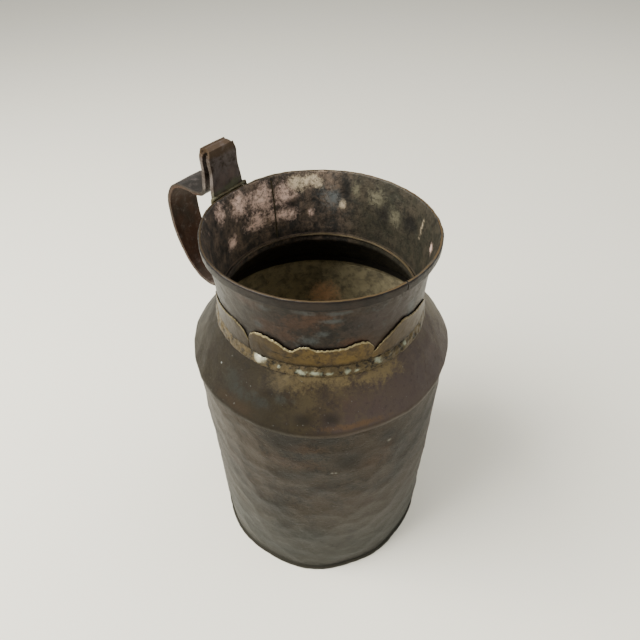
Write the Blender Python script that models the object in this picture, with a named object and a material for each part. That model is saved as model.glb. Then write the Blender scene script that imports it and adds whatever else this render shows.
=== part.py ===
"""Old copper water jug: hammered body, conical shoulder, flared neck and a strap handle.

Metres, +Z up. The origin is the centre of the base, on the surface that the jug stands on,
and the handle lies along -X. Radii are measured from the jug's axis, angles from +X towards +Y.
"""

import math

import bmesh
import bpy

# Overall sizes
BODY_RADIUS = 0.0916  # outside of the cylindrical wall
BODY_HEIGHT = 0.2056  # base to the shoulder's edge
SHOULDER_RISE = 0.0319  # shoulder's edge to the foot of the neck
NECK_RADIUS = 0.0697  # outside of the neck, below its flare
NECK_HEIGHT = 0.0575  # foot of the neck to the rim

# Sheet metal
SHEET = 0.0011  # body, shoulder and neck
BASE_SHEET = 0.0012
FIT_GAP = 0.0003  # between two pieces that are seated or soldered together
SEGMENTS = 60  # facets round a whole turn

# Base and shoulder edges
CRIMP_HEIGHT = 0.0048  # base sheet turned up round the wall
CRIMP_BEVEL = 0.0005
LIP_DEPTH = 0.0034  # shoulder sheet turned down over the wall
LIP_BEVEL = 0.0006
UPSTAND_HEIGHT = 0.0080  # shoulder sheet turned up inside the neck

# Neck
RIM_FLARE = 0.0053  # rim's outer radius beyond the neck's
FLARE_HEIGHT = 0.0350  # from the start of the flare to the rim
FLARE_STEPS = 5
HEM_HEIGHT = 0.0055  # fold of the rim
HEM_GAP = 0.0005  # between the fold and the sheet behind it
RIM_ROUND = 0.0004
SPLIT_ANGLE = 344.0
SPLIT_DEPTH = 0.0120
SPLIT_WIDTH = 0.0011
NOTCH_ANGLE = 207.0
NOTCH_DEPTH = 0.0024
NOTCH_WIDTH = 0.0020

# Upright seams
SEAM_WIDTH = 0.0018
BODY_SEAM_ANGLE = 180.0
NECK_SEAM_ANGLE = 154.0

# Solder fillets, measured along each of the two sheets that they join
BASE_FILLET = 0.0035
SHOULDER_FILLET = 0.0055
NECK_FILLET = 0.0045
SOLDER_LUMPS = (  # angle, half spread in degrees, growth as a share of the fillet
    (275.0, 9.0, 1.05),
    (300.0, 12.0, 0.30),
    (333.0, 8.0, 0.45),
    (352.0, 6.0, 0.35),
)

# Brass bands round the foot of the neck: angle, height of the ragged edge above the neck's foot
BAND_SHEET = 0.0010
BAND_STEP = 2.5  # degrees
BANDS = {
    "neck_band_left": (
        (226.0, 0.0120), (231.0, 0.0195), (245.0, 0.0215),
        (257.0, 0.0225), (262.0, 0.0205), (266.0, 0.0120),
    ),
    "neck_band_front": (
        (267.5, 0.0130), (271.0, 0.0208), (275.0, 0.0227), (284.0, 0.0208), (291.0, 0.0158),
        (296.0, 0.0208), (299.5, 0.0212), (302.0, 0.0184), (318.0, 0.0184), (323.0, 0.0201),
        (328.0, 0.0180), (332.0, 0.0120),
    ),
    "neck_band_right": (
        (335.0, 0.0150), (341.0, 0.0190), (346.0, 0.0230), (349.0, 0.0247),
        (357.0, 0.0220), (372.0, 0.0203), (380.0, 0.0120),
    ),
}

# Handle strip: one length of strap, from its foot on the neck to its foot on the shoulder
STRAP_WIDTH = 0.0260
STRAP_THICKNESS = 0.0027
STRAP_CHAMFER = 0.0006
STRAP_FOOT_FLARE = 0.0080  # extra width at the foot on the neck
TAB_HEIGHT = 0.0315  # folded tab, above the rim
TAB_SLOT = 0.0039  # between the two leaves of the tab
TAB_LEAN = 0.0010  # top of the tab, outwards from its leaf at the rim
TAB_ROUND = 0.0022  # narrowing on each side at the top of the fold
TOP_FOOT_LENGTH = 0.0310  # below the rim, along the neck
GRIP_DROP = 0.0008  # top of the loop, below the rim
GRIP_REACH = 0.0345  # loop's centre line, beyond the shoulder's lip
LANDING_RISE = 0.0072  # lower end of the loop, above the shoulder's edge
LOOP_SHAPE = (  # share of the way out to the loop's reach, share of the way up to its top
    (0.035, 1.180), (0.060, 1.065), (0.140, 1.005), (0.300, 0.992), (0.470, 1.000), (0.620, 1.000),
    (0.819, 0.960), (0.964, 0.835), (1.000, 0.690), (0.984, 0.495), (0.877, 0.315), (0.723, 0.160),
    (0.530, 0.055), (0.349, 0.012), (0.181, 0.000),
)
FOOT_LENGTH = 0.0200  # lower foot, up along the shoulder
FOOT_SHARES = (0.10, 0.25, 0.40, 0.70, 1.00)  # points of the path along the lower foot
FOLD_TURNS = (0, 45, 90, 135, 180)  # degrees of the fold at its path points
BRAZE = 0.0008  # thickness of the braze under either foot
BRAZE_MARGIN = 0.0020  # braze that shows beside a foot
BRAZE_START = 0.35  # share of the lower foot that is clear of the braze
PATH_STEPS = 4  # stations on each span of the strip's path

# Sizes that follow from the ones above
LIP_RADIUS = BODY_RADIUS + FIT_GAP + SHEET
RIM_RADIUS = NECK_RADIUS + RIM_FLARE
NECK_FOOT = BODY_HEIGHT + SHOULDER_RISE
RIM_TOP = NECK_FOOT + NECK_HEIGHT
CONE_FALL = SHOULDER_RISE / (LIP_RADIUS - NECK_RADIUS)  # height lost for each unit of radius
CONE_SLANT = math.hypot(1.0, CONE_FALL)
BRAZE_BED = FIT_GAP + BRAZE + FIT_GAP  # sheet to the strap that is brazed on it


def cone_height(radius, above=0.0):
    """Height of the shoulder's outer face, or of a face parallel to it, at a radius."""
    return BODY_HEIGHT + (LIP_RADIUS - radius) * CONE_FALL + above * CONE_SLANT


def cone_radius(height, outside=0.0):
    """Radius of the shoulder's outer face, or of a face parallel to it, at a height."""
    return LIP_RADIUS - (height - BODY_HEIGHT - outside * CONE_SLANT) / CONE_FALL


def flare_radius(height):
    """Outer radius of the neck's sheet, which flares towards the rim and runs in behind the hem."""
    widest = RIM_RADIUS - SHEET - HEM_GAP
    share = max(0.0, (height - RIM_TOP + FLARE_HEIGHT) / (FLARE_HEIGHT - SHEET))
    return NECK_RADIUS + (widest - NECK_RADIUS) * share**2


# Building blocks
def clear_scene():
    for obj in list(bpy.data.objects):
        bpy.data.objects.remove(obj, do_unlink=True)


def metal(name, color, roughness, metallic):
    material = bpy.data.materials.new(name)
    material.use_nodes = True
    shader = material.node_tree.nodes["Principled BSDF"]
    shader.inputs["Base Color"].default_value = (*color, 1.0)
    shader.inputs["Roughness"].default_value = roughness
    shader.inputs["Metallic"].default_value = metallic
    material.diffuse_color = (*color, 1.0)
    return material


def add_object(name, bm, material=None):
    """Turns a bmesh into an object with its faces pointing out and its round faces smooth."""
    bmesh.ops.remove_doubles(bm, verts=bm.verts, dist=1e-6)
    bmesh.ops.recalc_face_normals(bm, faces=bm.faces)
    mesh = bpy.data.meshes.new(name)
    bm.to_mesh(mesh)
    bm.free()
    mesh.shade_smooth()
    mesh.set_sharp_from_angle(angle=math.radians(35))
    obj = bpy.data.objects.new(name, mesh)
    if material:
        mesh.materials.append(material)
    bpy.context.collection.objects.link(obj)
    return obj


def on_axis(radius, angle, height):
    """The point at this radius, angle in degrees and height."""
    turn = math.radians(angle)
    return radius * math.cos(turn), radius * math.sin(turn), height


def turned_ring(name, profile, material, from_axis=False):
    """A whole turn of a cross-section, whose ends meet or, with from_axis, lie on the axis."""
    bm = bmesh.new()
    verts = [bm.verts.new(on_axis(radius, 0.0, height)) for radius, height in profile]
    edges = [bm.edges.new(pair) for pair in zip(verts, verts[1:])]
    if not from_axis:
        edges.append(bm.edges.new((verts[-1], verts[0])))
    bmesh.ops.spin(
        bm, geom=edges, cent=(0, 0, 0), axis=(0, 0, 1), angle=math.tau, steps=SEGMENTS, use_merge=True
    )
    return add_object(name, bm, material)


def turned_arc(name, profile, material, start, end):
    """Part of a turn of a cross-section, closed by a flat face at each end."""
    bm = bmesh.new()
    face = bm.faces.new([bm.verts.new(on_axis(radius, start, height)) for radius, height in profile])
    steps = max(1, round(SEGMENTS * (end - start) / 360))
    bmesh.ops.spin(
        bm, geom=[face], cent=(0, 0, 0), axis=(0, 0, 1), angle=math.radians(end - start), steps=steps
    )
    return add_object(name, bm, material)


def lofted(name, loops, material, closed=False):
    """A skin over loops of points, joined end to end or, when open, capped at both ends."""
    bm = bmesh.new()
    rows = [[bm.verts.new(point) for point in loop] for loop in loops]
    pairs = list(zip(rows, rows[1:]))
    if closed:
        pairs.append((rows[-1], rows[0]))
    else:
        bm.faces.new(rows[0])
        bm.faces.new(rows[-1])
    for first, second in pairs:
        for i in range(len(first)):
            bm.faces.new((first[i - 1], first[i], second[i], second[i - 1]))
    return add_object(name, bm, material)


def cut(obj, cutter):
    cutter.hide_render = True
    cutter.display_type = "WIRE"
    boolean = obj.modifiers.new(cutter.name, "BOOLEAN")
    boolean.operation = "DIFFERENCE"
    boolean.object = cutter


def between(points, x):
    """Straight-line value at x through points sorted by their first number."""
    for (x0, y0), (x1, y1) in zip(points, points[1:]):
        if x <= x1:
            return y0 + (y1 - y0) * (x - x0) / (x1 - x0)
    return points[-1][1]


def smooth_path(points, steps):
    """Catmull-Rom curve through points of a plane."""
    ends = [points[0], *points, points[-1]]
    path = []
    for a, b, c, d in zip(ends, ends[1:], ends[2:], ends[3:]):
        for step in range(steps):
            t = step / steps
            point = []
            for p, q, r, s in zip(a, b, c, d):
                squared, cubed = 2 * p - 5 * q + 4 * r - s, 3 * q - p - 3 * r + s
                point.append(0.5 * (2 * q + (r - p) * t + squared * t**2 + cubed * t**3))
            path.append(tuple(point))
    return [*path, points[-1]]


# Body and base
WALL_BOTTOM = BASE_SHEET + FIT_GAP
WALL_TOP = cone_height(BODY_RADIUS, -SHEET - FIT_GAP)
WALL_INNER = BODY_RADIUS - SHEET


def body_section(bottom, top):
    return [(BODY_RADIUS, bottom), (BODY_RADIUS, top), (WALL_INNER, top), (WALL_INNER, bottom)]


def half_seam_angle(radius, clearance):
    return math.degrees((SEAM_WIDTH / 2 + clearance) / radius)


def build_body(copper, brass):
    section = body_section(WALL_BOTTOM, WALL_TOP)
    slot = half_seam_angle(WALL_INNER, FIT_GAP)
    turned_arc("body_wall", section, copper, BODY_SEAM_ANGLE + slot, BODY_SEAM_ANGLE + 360 - slot)
    braze = half_seam_angle(WALL_INNER, 0.0)
    turned_arc("body_seam_braze", section, brass, BODY_SEAM_ANGLE - braze, BODY_SEAM_ANGLE + braze)


def build_base(copper, tin):
    inside = BODY_RADIUS + FIT_GAP
    outside = inside + BASE_SHEET
    profile = [
        (0.0, 0.0),
        (outside - CRIMP_BEVEL, 0.0),
        (outside, CRIMP_BEVEL),
        (outside, CRIMP_HEIGHT),
        (inside, CRIMP_HEIGHT),
        (inside, BASE_SHEET),
        (0.0, BASE_SHEET),
    ]
    turned_ring("base_plate", profile, copper, from_axis=True)

    corner_radius = WALL_INNER - FIT_GAP
    corner_height = BASE_SHEET + FIT_GAP
    dip = BASE_FILLET / 3
    fillet = [
        (corner_radius, corner_height),
        (corner_radius, corner_height + BASE_FILLET),
        (corner_radius - dip, corner_height + dip),
        (corner_radius - BASE_FILLET, corner_height),
    ]
    turned_ring("base_seam_solder", fillet, tin)


# Shoulder
UPSTAND_RADIUS = NECK_RADIUS - SHEET - FIT_GAP


def build_shoulder(copper, tin):
    lip_inside = BODY_RADIUS + FIT_GAP
    upstand_inside = UPSTAND_RADIUS - SHEET
    upstand_top = NECK_FOOT + UPSTAND_HEIGHT
    profile = [
        (LIP_RADIUS, BODY_HEIGHT - LIP_DEPTH),
        (LIP_RADIUS, BODY_HEIGHT - LIP_BEVEL),
        (LIP_RADIUS - LIP_BEVEL, cone_height(LIP_RADIUS - LIP_BEVEL)),
        (UPSTAND_RADIUS, cone_height(UPSTAND_RADIUS)),
        (UPSTAND_RADIUS, upstand_top),
        (upstand_inside, upstand_top),
        (upstand_inside, cone_height(upstand_inside, -SHEET)),
        (lip_inside, cone_height(lip_inside, -SHEET)),
        (lip_inside, BODY_HEIGHT - LIP_DEPTH),
    ]
    turned_ring("shoulder_cone", profile, copper)

    corner_radius = WALL_INNER - FIT_GAP
    corner_height = cone_height(corner_radius, -SHEET - FIT_GAP)
    fillet = [
        (corner_radius, corner_height),
        (corner_radius, corner_height - SHOULDER_FILLET),
        (
            corner_radius - SHOULDER_FILLET / CONE_SLANT,
            corner_height + SHOULDER_FILLET * CONE_FALL / CONE_SLANT,
        ),
    ]
    turned_ring("shoulder_seam_solder", fillet, tin)


# Neck
NECK_BOTTOM = cone_height(NECK_RADIUS - SHEET, FIT_GAP)


def neck_section():
    """The neck's sheet from its foot up the outside, over the folded rim and down the inside."""
    fold_bottom = RIM_TOP - HEM_HEIGHT
    fold_inside = RIM_RADIUS - SHEET
    sheet_top = RIM_TOP - SHEET
    flare_start = RIM_TOP - FLARE_HEIGHT
    rise = (FLARE_HEIGHT - SHEET) / FLARE_STEPS
    flare = [flare_start + rise * step for step in range(FLARE_STEPS + 1)]
    bore = flare_radius(sheet_top) - SHEET
    return [
        (NECK_RADIUS, NECK_BOTTOM),
        *((flare_radius(height), height) for height in flare),
        (fold_inside, sheet_top),
        (fold_inside, fold_bottom),
        (RIM_RADIUS, fold_bottom),
        (RIM_RADIUS, RIM_TOP - RIM_ROUND),
        (RIM_RADIUS - RIM_ROUND, RIM_TOP),
        (bore + RIM_ROUND, RIM_TOP),
        (bore, RIM_TOP - RIM_ROUND),
        *((flare_radius(height) - SHEET, height) for height in reversed(flare[:-1])),
        (NECK_RADIUS - SHEET, NECK_BOTTOM),
    ]


def rim_cutter(name, angle, width, depth):
    """A wedge, point down, that cuts through the rim from its top edge."""
    over = 0.001
    turn = math.radians(angle)
    out = (math.cos(turn), math.sin(turn))
    widest = width / 2 * (depth + over) / depth
    corners = [(-widest, RIM_TOP + over), (widest, RIM_TOP + over), (0.0, RIM_TOP - depth)]
    loops = []
    for radius in (NECK_RADIUS - SHEET - over, RIM_RADIUS + over):
        x, y = radius * out[0], radius * out[1]
        loops.append([(x - side * out[1], y + side * out[0], height) for side, height in corners])
    return lofted(name, loops, None)


def build_neck(copper, brass):
    section = neck_section()
    slot = half_seam_angle(NECK_RADIUS - SHEET, FIT_GAP)
    neck = turned_arc("neck_collar", section, copper, NECK_SEAM_ANGLE + slot, NECK_SEAM_ANGLE + 360 - slot)
    cut(neck, rim_cutter("rim_split_cutter", SPLIT_ANGLE, SPLIT_WIDTH, SPLIT_DEPTH))
    cut(neck, rim_cutter("rim_notch_cutter", NOTCH_ANGLE, NOTCH_WIDTH, NOTCH_DEPTH))
    braze = half_seam_angle(NECK_RADIUS - SHEET, 0.0)
    turned_arc("neck_seam_braze", section, brass, NECK_SEAM_ANGLE - braze, NECK_SEAM_ANGLE + braze)


def neck_fillet(angle):
    """Length of the solder fillet at an angle: it is lumpy."""
    growth = 0.0
    for center, spread, rise in SOLDER_LUMPS:
        away = (angle - center + 180) % 360 - 180
        growth += rise * math.exp(-((away / spread) ** 2))
    return NECK_FILLET * (1 + growth)


def fillet_top(angle):
    return cone_height(NECK_RADIUS + FIT_GAP, FIT_GAP) + min(neck_fillet(angle), NECK_FILLET)


def build_neck_solder(tin):
    """The fillet creeps up the neck by its own length and down the shoulder, further at a lump."""
    corner_radius = NECK_RADIUS + FIT_GAP
    corner_height = cone_height(corner_radius, FIT_GAP)
    loops = []
    for segment in range(SEGMENTS):
        angle = 360.0 * segment / SEGMENTS
        length = neck_fillet(angle)
        bulge = (length - NECK_FILLET) / 4
        section = [
            (corner_radius, corner_height),
            (corner_radius, fillet_top(angle)),
            (corner_radius + length / 4 + bulge, corner_height + length / 4),
            (corner_radius + length / CONE_SLANT, corner_height - length * CONE_FALL / CONE_SLANT),
        ]
        loops.append([on_axis(radius, angle, height) for radius, height in section])
    lofted("neck_solder_ring", loops, tin, closed=True)


def build_bands(brass):
    """Strips with a ragged upper edge, on the neck just above its solder."""
    for name, edge in BANDS.items():
        start, end = edge[0][0], edge[-1][0]
        steps = round((end - start) / BAND_STEP)
        loops = []
        for step in range(steps + 1):
            angle = start + (end - start) * step / steps
            bottom = fillet_top(angle) + FIT_GAP
            top = NECK_FOOT + between(edge, angle)
            low_radius = flare_radius(bottom) + FIT_GAP
            high_radius = flare_radius(top) + FIT_GAP
            section = [
                (low_radius, bottom),
                (low_radius + BAND_SHEET, bottom),
                (high_radius + BAND_SHEET, top),
                (high_radius, top),
            ]
            loops.append([on_axis(radius, angle, height) for radius, height in section])
        lofted(name, loops, brass)


# Handle
LEAF_RADIUS = RIM_RADIUS + BRAZE_BED + STRAP_THICKNESS / 2  # centre line of the leaf beside the rim
FOLD_RADIUS = (TAB_SLOT + STRAP_THICKNESS) / 2
GRIP_RADIUS = LIP_RADIUS + GRIP_REACH


def leaf_radius(height):
    """Centre line of the front leaf: beside the rim it is upright, below the hem it slants in to the neck."""
    foot_bottom = RIM_TOP - TOP_FOOT_LENGTH
    foot_radius = flare_radius(foot_bottom) + BRAZE_BED + STRAP_THICKNESS / 2
    slant = (height - foot_bottom) / (TOP_FOOT_LENGTH - HEM_HEIGHT)
    return min(LEAF_RADIUS, foot_radius + (LEAF_RADIUS - foot_radius) * slant)


def neck_bed_radius(height):
    """Outside of the neck's sheet or, at the rim, of its hem, with the clearance of a brazed piece."""
    in_hem = height > RIM_TOP - HEM_HEIGHT - FIT_GAP
    return (RIM_RADIUS if in_hem else flare_radius(height)) + FIT_GAP


def handle_path():
    """Centre line of the strip, as radius and height, from the neck up, over, round and down."""
    fold_height = RIM_TOP + TAB_HEIGHT - STRAP_THICKNESS / 2 - FOLD_RADIUS
    fold_start = LEAF_RADIUS + TAB_LEAN
    back_leaf = LEAF_RADIUS + 2 * FOLD_RADIUS
    run_height = RIM_TOP - GRIP_DROP - STRAP_THICKNESS / 2
    landing = BODY_HEIGHT + LANDING_RISE
    foot_offset = BRAZE_BED + STRAP_THICKNESS / 2
    foot_start = cone_radius(landing, foot_offset)

    foot_bottom = RIM_TOP - TOP_FOOT_LENGTH
    hem_bottom = RIM_TOP - HEM_HEIGHT
    middle = (RIM_TOP + fold_height) / 2
    path = [
        (leaf_radius(height), height)
        for height in (foot_bottom, (foot_bottom + hem_bottom) / 2, hem_bottom, RIM_TOP)
    ]
    path.append((LEAF_RADIUS + TAB_LEAN / 2, middle))
    for turn in FOLD_TURNS:
        across = fold_start + FOLD_RADIUS * (1 - math.cos(math.radians(turn)))
        path.append((across, fold_height + FOLD_RADIUS * math.sin(math.radians(turn))))

    loop_height = run_height - landing
    for across, up in LOOP_SHAPE:
        inner = foot_start + (back_leaf - foot_start) * min(1, up)
        path.append((inner + (GRIP_RADIUS - inner) * across, landing + loop_height * up))

    for along in FOOT_SHARES:
        height = landing + FOOT_LENGTH * along * CONE_FALL / CONE_SLANT
        path.append((foot_start - FOOT_LENGTH * along / CONE_SLANT, height))
    return smooth_path(path, PATH_STEPS)


def strap_half_width(radius, height):
    """The strap is widest at its foot on the neck, and its corners are round at the top of the fold."""
    fold_height = RIM_TOP + TAB_HEIGHT - STRAP_THICKNESS / 2 - FOLD_RADIUS
    foot_bottom = RIM_TOP - TOP_FOOT_LENGTH
    flare_end = RIM_TOP + TAB_HEIGHT / 2
    half = STRAP_WIDTH / 2
    if height > fold_height:
        return half - TAB_ROUND * ((height - fold_height) / FOLD_RADIUS) ** 2
    on_front_leaf = radius < LEAF_RADIUS + FOLD_RADIUS and foot_bottom <= height < flare_end
    if on_front_leaf:
        return half + STRAP_FOOT_FLARE / 2 * (flare_end - height) / (flare_end - foot_bottom)
    return half


def build_strap(copper):
    path = handle_path()
    loops = []
    for i, (radius, height) in enumerate(path):
        before, after = path[max(i - 1, 0)], path[min(i + 1, len(path) - 1)]
        run, rise = after[0] - before[0], after[1] - before[1]
        length = math.hypot(run, rise)
        normal = (rise / length, -run / length)
        half = strap_half_width(radius, height)
        thick = STRAP_THICKNESS / 2
        section = [
            (half, thick - STRAP_CHAMFER), (half - STRAP_CHAMFER, thick),
            (STRAP_CHAMFER - half, thick), (-half, thick - STRAP_CHAMFER),
            (-half, STRAP_CHAMFER - thick), (STRAP_CHAMFER - half, -thick),
            (half - STRAP_CHAMFER, -thick), (half, STRAP_CHAMFER - thick),
        ]
        loops.append([(-(radius + off * normal[0]), side, height + off * normal[1]) for side, off in section])
    lofted("handle_strap", loops, copper)


def braze_pad(name, brass, heights, bed_radius, strap_face, half_width):
    """Fills the space between a round sheet and the flat strap on it, both given by height."""
    columns = 8
    loops = []
    for height in heights:
        sides = [half_width * (2 * column / columns - 1) for column in range(columns + 1)]
        inner = [(-math.sqrt(bed_radius(height) ** 2 - side**2), side, height) for side in sides]
        outer = [(-strap_face(height), side, height) for side in reversed(sides)]
        loops.append(inner + outer)
    lofted(name, loops, brass)


def build_handle(copper, brass):
    build_strap(copper)
    foot_bottom = RIM_TOP - TOP_FOOT_LENGTH + STRAP_CHAMFER
    under_hem = RIM_TOP - HEM_HEIGHT - 2 * FIT_GAP
    heights = [foot_bottom + (under_hem - foot_bottom) * step / 4 for step in range(5)]
    braze_pad(
        "handle_top_braze",
        brass,
        [*heights, RIM_TOP - HEM_HEIGHT, RIM_TOP - RIM_ROUND],
        neck_bed_radius,
        lambda height: leaf_radius(height) - STRAP_THICKNESS / 2 - FIT_GAP,
        (STRAP_WIDTH + STRAP_FOOT_FLARE) / 2,
    )
    landing = BODY_HEIGHT + LANDING_RISE
    rise = FOOT_LENGTH * CONE_FALL / CONE_SLANT
    braze_pad(
        "handle_foot_braze",
        brass,
        [landing + rise * BRAZE_START, landing + rise],
        lambda height: cone_radius(height, FIT_GAP),
        lambda height: cone_radius(height, FIT_GAP + BRAZE),
        STRAP_WIDTH / 2 + BRAZE_MARGIN,
    )


def build_jug():
    clear_scene()
    hammered = metal("hammered copper", (0.100, 0.076, 0.056), 0.42, 0.85)
    base_copper = metal("base copper", (0.085, 0.068, 0.052), 0.50, 0.80)
    shoulder_copper = metal("shoulder copper", (0.115, 0.088, 0.054), 0.40, 0.85)
    neck_copper = metal("neck copper", (0.110, 0.072, 0.052), 0.45, 0.80)
    strap_copper = metal("strap copper", (0.130, 0.090, 0.062), 0.42, 0.85)
    seam_brass = metal("seam brass", (0.240, 0.175, 0.070), 0.40, 0.90)
    band_brass = metal("band brass", (0.230, 0.160, 0.055), 0.36, 0.90)
    tin = metal("tin solder", (0.560, 0.540, 0.450), 0.45, 0.70)
    dull_tin = metal("dull tin", (0.160, 0.135, 0.100), 0.60, 0.60)

    build_body(hammered, seam_brass)
    build_base(base_copper, dull_tin)
    build_shoulder(shoulder_copper, dull_tin)
    build_neck(neck_copper, seam_brass)
    build_neck_solder(tin)
    build_bands(band_brass)
    build_handle(strap_copper, seam_brass)


build_jug()
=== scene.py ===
import math
import random

import bpy
import numpy as np
from mathutils import Matrix, Vector


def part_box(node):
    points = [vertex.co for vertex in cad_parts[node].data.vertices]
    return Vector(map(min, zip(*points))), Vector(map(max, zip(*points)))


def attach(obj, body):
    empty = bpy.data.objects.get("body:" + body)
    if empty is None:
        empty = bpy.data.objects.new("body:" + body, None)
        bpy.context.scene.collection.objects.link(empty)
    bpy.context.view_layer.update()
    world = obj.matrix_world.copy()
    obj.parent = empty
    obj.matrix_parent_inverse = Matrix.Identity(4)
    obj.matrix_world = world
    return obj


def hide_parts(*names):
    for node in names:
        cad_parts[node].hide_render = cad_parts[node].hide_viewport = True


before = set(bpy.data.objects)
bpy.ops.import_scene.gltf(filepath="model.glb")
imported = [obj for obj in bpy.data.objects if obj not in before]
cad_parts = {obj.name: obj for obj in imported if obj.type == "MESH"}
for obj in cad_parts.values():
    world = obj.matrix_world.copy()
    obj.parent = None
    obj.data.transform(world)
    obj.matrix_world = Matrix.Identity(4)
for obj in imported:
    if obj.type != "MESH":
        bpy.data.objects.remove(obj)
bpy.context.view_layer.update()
print("frame loaded")

# places and sizes that every piece works from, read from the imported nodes
wallLow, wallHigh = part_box("body_wall")
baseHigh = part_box("base_plate")[1]
shoulderLow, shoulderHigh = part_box("shoulder_cone")
neckLow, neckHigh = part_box("neck_collar")
strapLow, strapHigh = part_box("handle_strap")
wallRadius = wallHigh.y
lipRadius = shoulderHigh.y
rimRadius = neckHigh.y
rimTop = neckHigh.z
jug = {
    "sheet": 0.0011,
    "fit": 0.0003,
    "rimFlare": 0.0053,      # rim beyond the neck
    "flareHeight": 0.035,
    "hemHeight": 0.0055,
    "lipDepth": 0.0034,
    "upstand": 0.008,
    "steps": 288,            # facets round a whole turn
}
neckRadius = rimRadius - jug["rimFlare"]
shoulderEdge = shoulderLow.z + jug["lipDepth"]
throat = shoulderHigh.z
neckFoot = throat - jug["upstand"]
hemBottom = rimTop - jug["hemHeight"]
coneFall = (neckFoot - shoulderEdge) / (lipRadius - neckRadius)
coneSlant = math.hypot(1, coneFall)


def coneHeight(radius, above=0.0):
    return shoulderEdge + (lipRadius - radius) * coneFall + above * coneSlant


def coneRadius(height, outside=0.0):
    return lipRadius - (height - shoulderEdge - outside * coneSlant) / coneFall


def flareRadius(height):
    # the neck's outside, from straight to flared
    widest = rimRadius - 2 * jug["sheet"] - jug["fit"]
    share = np.maximum(0.0, (height - rimTop + jug["flareHeight"]) / (jug["flareHeight"] - jug["sheet"]))
    return neckRadius + (widest + jug["sheet"] - neckRadius) * share ** 2


# dents and waves of the old sheet: radial shifts by angle in degrees and height
def away(angle, center):
    return (angle - center + 180) % 360 - 180


def dents(angle, height, places):
    total = 0
    for center, level, across, tall, depth in places:
        reach = (away(angle, center) / across) ** 2 + ((height - level) / tall) ** 2
        total = total + depth * np.exp(-reach)
    return total


wear = {
    "seed": 7,
    "wallDents": [  # angle, height, spread in degrees, spread in height, shift
        (236, 0.105, 17, 0.04, -0.0012), (232, 0.04, 12, 0.022, 0.0009),
        (16, 0.026, 15, 0.024, 0.0018), (352, 0.004, 13, 0.016, -0.0013),
        (258, 0.004, 14, 0.016, 0.0005), (320, 0.003, 12, 0.014, -0.0008),
        (300, 0.118, 14, 0.022, -0.0009), (282, 0.06, 12, 0.026, 0.0007),
        (330, 0.15, 12, 0.03, 0.0006),
    ],
    "rimDents": [
        (200, 0.3, 15, 0.06, 0.0016), (150, 0.3, 18, 0.05, 0.0012),
        (40, 0.3, 26, 0.05, 0.0008), (275, 0.3, 24, 0.04, -0.0004),
    ],
    "shoulderDents": [
        (262, 0.214, 12, 0.012, -0.0008), (310, 0.218, 10, 0.012, -0.0006),
        (345, 0.212, 14, 0.012, 0.0006),
    ],
    "waves": 10,
    "waveSize": 0.00022,
}
dice = random.Random(wear["seed"])
waves = []
for wave in range(wear["waves"]):
    count, start = dice.randint(2, 9), dice.uniform(0, 360)
    waves.append((count, start, dice.uniform(10, 45), dice.uniform(0, math.tau)))


def wobble(angle, height):
    total = 0 * angle
    for count, start, pitch, phase in waves:
        total = total + np.sin(np.radians(count * (angle - start))) * np.cos(height * pitch + phase)
    return total * wear["waveSize"]


def wallShift(angle, height):
    return wobble(angle, height) + dents(angle, height, wear["wallDents"])


def shoulderShift(angle, height):
    fade = np.clip((neckFoot - height) / (neckFoot - shoulderEdge), 0, 1)
    edge = fade * wallShift(angle, 0 * height + shoulderEdge)
    return edge + dents(angle, height, wear["shoulderDents"])


def neckShift(angle, height):
    rise = np.clip((height - neckFoot) / 0.02, 0, 1)
    return rise * (0.5 * wobble(angle, height) + dents(angle, height, wear["rimDents"]))


def onAxis(radius, angle, height):
    turn = math.radians(angle)
    return Vector((radius * math.cos(turn), radius * math.sin(turn), height))


# small helpers for modelling
def clearSelection():
    if bpy.context.mode != "OBJECT":
        bpy.ops.object.mode_set(mode="OBJECT")
    bpy.ops.object.select_all(action="DESELECT")


def makeActive(piece):
    clearSelection()
    piece.select_set(True)
    bpy.context.view_layer.objects.active = piece


def editAll():
    bpy.ops.object.mode_set(mode="EDIT")
    bpy.ops.mesh.select_all(action="SELECT")


def leaveEdit(turnOut=False):
    if turnOut:
        bpy.ops.mesh.select_all(action="SELECT")
        bpy.ops.mesh.normals_make_consistent(inside=False)
    bpy.ops.object.mode_set(mode="OBJECT")


def drawLine(name, points):
    # one vertex, drawn out to each point in turn
    clearSelection()
    points = [Vector(point) for point in points]
    bpy.ops.mesh.primitive_plane_add(size=0.001, location=points[0])
    line = bpy.context.object
    line.name = line.data.name = name
    bpy.ops.object.mode_set(mode="EDIT")
    bpy.ops.mesh.merge(type="CENTER")
    for start, end in zip(points, points[1:]):
        bpy.ops.mesh.extrude_vertices_move(TRANSFORM_OT_translate={"value": end - start})
    leaveEdit()
    bpy.ops.object.transform_apply(location=True)
    return line


def evenPoints(corners, spacing):
    points = [Vector(corners[0])]
    for start, end in zip(corners, corners[1:]):
        start, end = Vector(start), Vector(end)
        count = max(1, round((end - start).length / spacing))
        points += [start.lerp(end, step / count) for step in range(1, count + 1)]
    return points


def turnSheet(name, corners, spacing, steps=jug["steps"]):
    # an outline given as radius and height, spun once round the axis
    flat = [(radius, 0, height) for radius, height in corners]
    sheet = drawLine(name, evenPoints(flat, spacing))
    editAll()
    bpy.ops.mesh.spin(steps=steps, angle=math.tau, center=(0, 0, 0), axis=(0, 0, 1))
    bpy.ops.mesh.select_all(action="SELECT")
    bpy.ops.mesh.remove_doubles(threshold=1e-6)
    leaveEdit(True)
    return sheet


def readPoints(piece):
    points = np.empty(len(piece.data.vertices) * 3)
    piece.data.vertices.foreach_get("co", points)
    return points.reshape(-1, 3)


def writePoints(piece, points):
    piece.data.vertices.foreach_set("co", points.ravel())
    piece.data.update()


def turnOf(points):
    return np.degrees(np.arctan2(points[:, 1], points[:, 0])) % 360


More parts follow.
